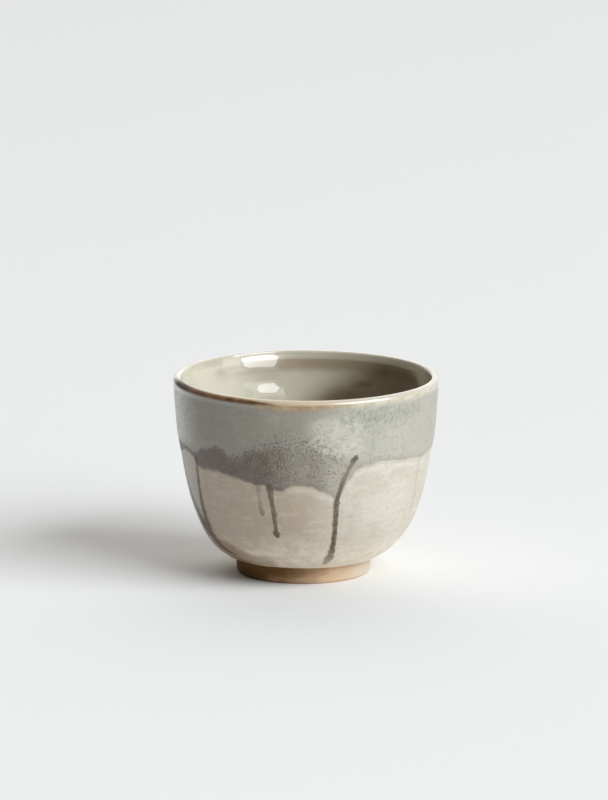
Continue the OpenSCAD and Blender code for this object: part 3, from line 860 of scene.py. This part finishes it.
# Places along each run: angle from the front, and shares of the cup's height, the full width and the tone
run_shares = {
    "long_run": [
        (22.8, 0.720, 1.3, 0.95), (21.9, 0.698, 1.5, 0.95), (20.6, 0.668, 1.0, 0.70), (18.4, 0.620, 1.0, 0.65),
        (16.8, 0.575, 1.0, 0.80), (15.5, 0.522, 1.05, 0.95), (14.6, 0.470, 1.15, 1.0), (14.6, 0.400, 1.05, 1.0),
        (14.9, 0.300, 1.1, 1.0), (15.3, 0.225, 1.25, 1.0), (15.6, 0.190, 1.6, 0.85), (15.0, 0.155, 1.8, 0.75),
        (13.9, 0.125, 1.3, 0.80)],
    "second_run": [
        (-16.8, 0.570, 2.4, 0.6), (-16.6, 0.535, 1.5, 0.8), (-16.3, 0.490, 1.1, 0.85), (-15.6, 0.420, 1.0, 0.85),
        (-15.3, 0.340, 1.05, 0.9), (-15.2, 0.305, 1.3, 1.0), (-14.7, 0.283, 1.4, 1.0)],
    "short_run": [
        (-22.8, 0.585, 1.6, 0.4), (-22.6, 0.540, 1.0, 0.35), (-22.2, 0.470, 0.9, 0.35), (-21.7, 0.425, 1.0, 0.5),
        (-21.4, 0.398, 1.3, 0.75)],
    "left_run": [
        (-60.0, 0.650, 1.8, 0.6), (-61.0, 0.540, 1.2, 0.8), (-62.0, 0.430, 1.4, 0.90), (-63.0, 0.310, 2.0, 1.0),
        (-63, 0.230, 2.8, 1.1), (-57, 0.172, 2.8, 1.1), (-47, 0.150, 2.2, 0.9)],
    "side_run": [
        (-84, 0.660, 1.8, 0.3), (-80, 0.520, 1.8, 0.35), (-75, 0.400, 2.4, 0.6), (-70, 0.310, 3.4, 1.0),
        (-66.5, 0.250, 3.4, 1.4), (-62, 0.200, 2.4, 1.3)],
    "right_run": [
        (63.5, 0.660, 2.0, 0.10), (64, 0.560, 1.6, 0.10), (65.5, 0.450, 1.5, 0.10), (66, 0.345, 1.6, 0.12)],
    "back_right_run": [
        (104, 0.60, 2.6, 0.7), (104, 0.55, 1.5, 0.85), (104, 0.48, 1.05, 0.8), (104.6, 0.39, 1.0, 0.8),
        (105, 0.33, 1.2, 0.9), (105, 0.295, 1.4, 1.0)],
    "back_middle_run": [
        (146, 0.56, 2.8, 0.7), (146, 0.51, 1.7, 0.9), (145.6, 0.44, 1.15, 0.9), (144.6, 0.32, 1.05, 0.9),
        (144, 0.20, 1.3, 0.9), (143.8, 0.16, 1.6, 0.85), (143.6, 0.13, 1.5, 0.9)],
    "back_left_run": [
        (196, 0.61, 2.2, 0.6), (196.4, 0.56, 1.3, 0.7), (197.2, 0.47, 0.9, 0.6), (197.8, 0.39, 1.1, 0.7),
        (198, 0.355, 1.3, 0.85)],
    "far_left_run": [
        (236, 0.59, 2.6, 0.7), (236, 0.54, 1.5, 0.85), (235.7, 0.46, 1.0, 0.8), (235.2, 0.35, 1.0, 0.8),
        (235, 0.27, 1.2, 0.9), (235, 0.235, 1.4, 1.0)]}


def smooth_path(points, count):
    """Places along a path: each column of points is eased through a cubic between neighbours, whose slopes
    are half the step from the point before to the point after, or at an end the step to its neighbour."""
    p = np.array(points, float)
    u = np.linspace(0, len(p) - 1, count)
    i = np.minimum(u.astype(int), len(p) - 2)
    s = (u - i)[:, None]
    slope = np.gradient(p, axis=0)
    return ((2 * s ** 3 - 3 * s ** 2 + 1) * p[i] + (s ** 3 - 2 * s ** 2 + s) * slope[i]
            + (3 * s ** 2 - 2 * s ** 3) * p[i + 1] + (s ** 3 - s ** 2) * slope[i + 1])


def coats_lift(angle, height):
    """Height over the clay of whichever coat lies on top at an angle and height."""
    return outer_t + band_t * band_pour.swell(angle, height) + veil_t * veil_pour.swell(angle, height)


def run_skin(name, places):
    """A bead along a path on the wall: over the coats it is a dome (1 - x^2)^2 across its width, under them a
    shallow hollow. Its width wavers, by a seed that is the length of its name, and both ends are rounded as
    a circle is. The glass thins to the sides as a power of 1 - x^2."""
    angle, share, width, tone = smooth_path(places, run_rows).T[:, :, None]
    height = share * cup_h
    waver = 1 + run_waver * waves(0, height, seed=len(name), turns=0, pitch=waver_pitch)
    half = run_w / 2 * run_spread * width * waver
    to_end = np.minimum(height[0] - height, height - height[-1]) / half
    half = half * np.sqrt(np.where(to_end < 1, np.clip(to_end * (2 - to_end), run_end_least, 1), 1))
    across = np.cos(np.linspace(0, 2 * math.pi, run_columns, endpoint=False))
    dome = (1 - across ** 2) ** 2 * np.where(np.arange(run_columns) < run_columns / 2, 1, -run_hollow)
    radius = wall_point(wall_at(height))[0]
    angle = angle + np.degrees(half / radius) * across
    height = np.broadcast_to(height, angle.shape)
    bead = run_t * np.minimum(tone, 1) * np.minimum(wide_most, half / run_w * wide_gain)
    skin = outside(angle, wall_at(height), coats_lift(angle, height) + bead * dome - run_sink)
    films = glaze_films(angle, height)
    films["run"] = np.minimum(core_gain * (1 - across ** 2) ** core_power, 1)
    films["tone"] = tone
    return closed_skin(name, skin, films, poles=True)


run_glaze = layered_glaze("run_glaze", 0.12)
for node_name, run_places in run_shares.items():
    run = run_skin(node_name + "_bead", run_places)
    run.data.materials.append(run_glaze)
    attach(run, "root")
    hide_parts(node_name)

# Camera
# A long lens two metres off looks down on the cup by about twelve degrees. The cup stands below the
# middle of the picture, so the camera aims at a point above it.
image_w, image_h = 608, 800
cup_pixel = (306.0, 472.3)
pixels_per_metre = 3688
camera_distance = 2.0
camera_pitch = math.radians(12.25)
sensor_mm = 36
cup_middle = Vector((0, 0, cup_h / 2))
sight = Vector((0, math.cos(camera_pitch), -math.sin(camera_pitch)))
above = Vector((0, math.sin(camera_pitch), math.cos(camera_pitch)))
aim = cup_middle + above * ((cup_pixel[1] - image_h / 2) / pixels_per_metre)
aim.x -= (cup_pixel[0] - image_w / 2) / pixels_per_metre
camera_data = bpy.data.cameras.new("camera")
camera_data.sensor_width = sensor_mm
camera_data.lens = sensor_mm * pixels_per_metre * camera_distance / image_h
camera = placed("camera", camera_data)
camera.location = cup_middle - camera_distance * sight
camera.rotation_euler = (aim - camera.location).to_track_quat("-Z", "Y").to_euler()
bpy.context.scene.camera = camera

# Table and light
# A white table that runs back out of sight, a wide window to the right and in front, a white sill under it,
# and a room that is bright behind the cup and dark on the left. None of it is part of the cup.
table_size = 12.0
table_mesh = bpy.data.meshes.new("white_table")
table_mesh.from_pydata([(-table_size, -table_size, 0), (table_size, -table_size, 0),
                        (table_size, table_size, 0), (-table_size, table_size, 0)], [], [(0, 1, 2, 3)])
table = placed("white_table", table_mesh)
white = Finish("white_table")
white.set(Base_Color=(0.914, 0.927, 0.940), Roughness=0.9, Specular_IOR_Level=0.0)
table.data.materials.append(white.material)


def direction(azimuth, elevation):
    """Unit vector from the cup, by degrees from the front towards +X and degrees above the table."""
    a, e = math.radians(azimuth), math.radians(elevation)
    return Vector((math.sin(a) * math.cos(e), -math.cos(a) * math.cos(e), math.sin(e)))


def window(name, middle, spread, distance, brightness, tint):
    """A rectangle of light that faces the cup. Middle and spread are degrees round and up, and brightness is
    its radiance: the watts are that times pi and the area."""
    width, height = (2 * distance * math.tan(math.radians(side / 2)) for side in spread)
    lamp = bpy.data.lights.new(name, "AREA")
    lamp.shape = "RECTANGLE"
    lamp.size, lamp.size_y = width, height
    lamp.energy = brightness * math.pi * width * height
    lamp.color = tint
    stand = placed(name, lamp)
    stand.location = cup_middle + distance * direction(*middle)
    stand.rotation_euler = (cup_middle - stand.location).to_track_quat("-Z", "Y").to_euler()


window("window", middle=(56, 35), spread=(46, 27), distance=10, brightness=7.6, tint=(0.955, 0.985, 1.0))
window("sill", middle=(56, 9), spread=(56, 18), distance=10, brightness=2.0, tint=(0.975, 0.992, 1.0))

world = bpy.data.worlds.new("room")
bpy.context.scene.world = world
world.use_nodes = True
room = Graph(world.node_tree)
room_place = room.node("ShaderNodeTexCoord", {}, "Generated")


def glow(toward, strength):
    """Light from all round one direction, falling off as the cube of the cosine of the angle from it."""
    facing = room.node("ShaderNodeVectorMath", {0: room_place, 1: toward}, "Value", operation="DOT_PRODUCT")
    cosine = room.step("MAXIMUM", facing, 0)
    return room.times(room.step("POWER", cosine, 3), strength)


room_light = room.sum(glow(direction(180, 20), 1.54), glow(direction(0, 90), 0.43))
background = world.node_tree.nodes["Background"]
room.put(background.inputs["Strength"], room_light)
room.put(background.inputs["Color"], (1.0, 0.970, 0.922))
bpy.context.scene.view_settings.view_transform = "Standard"
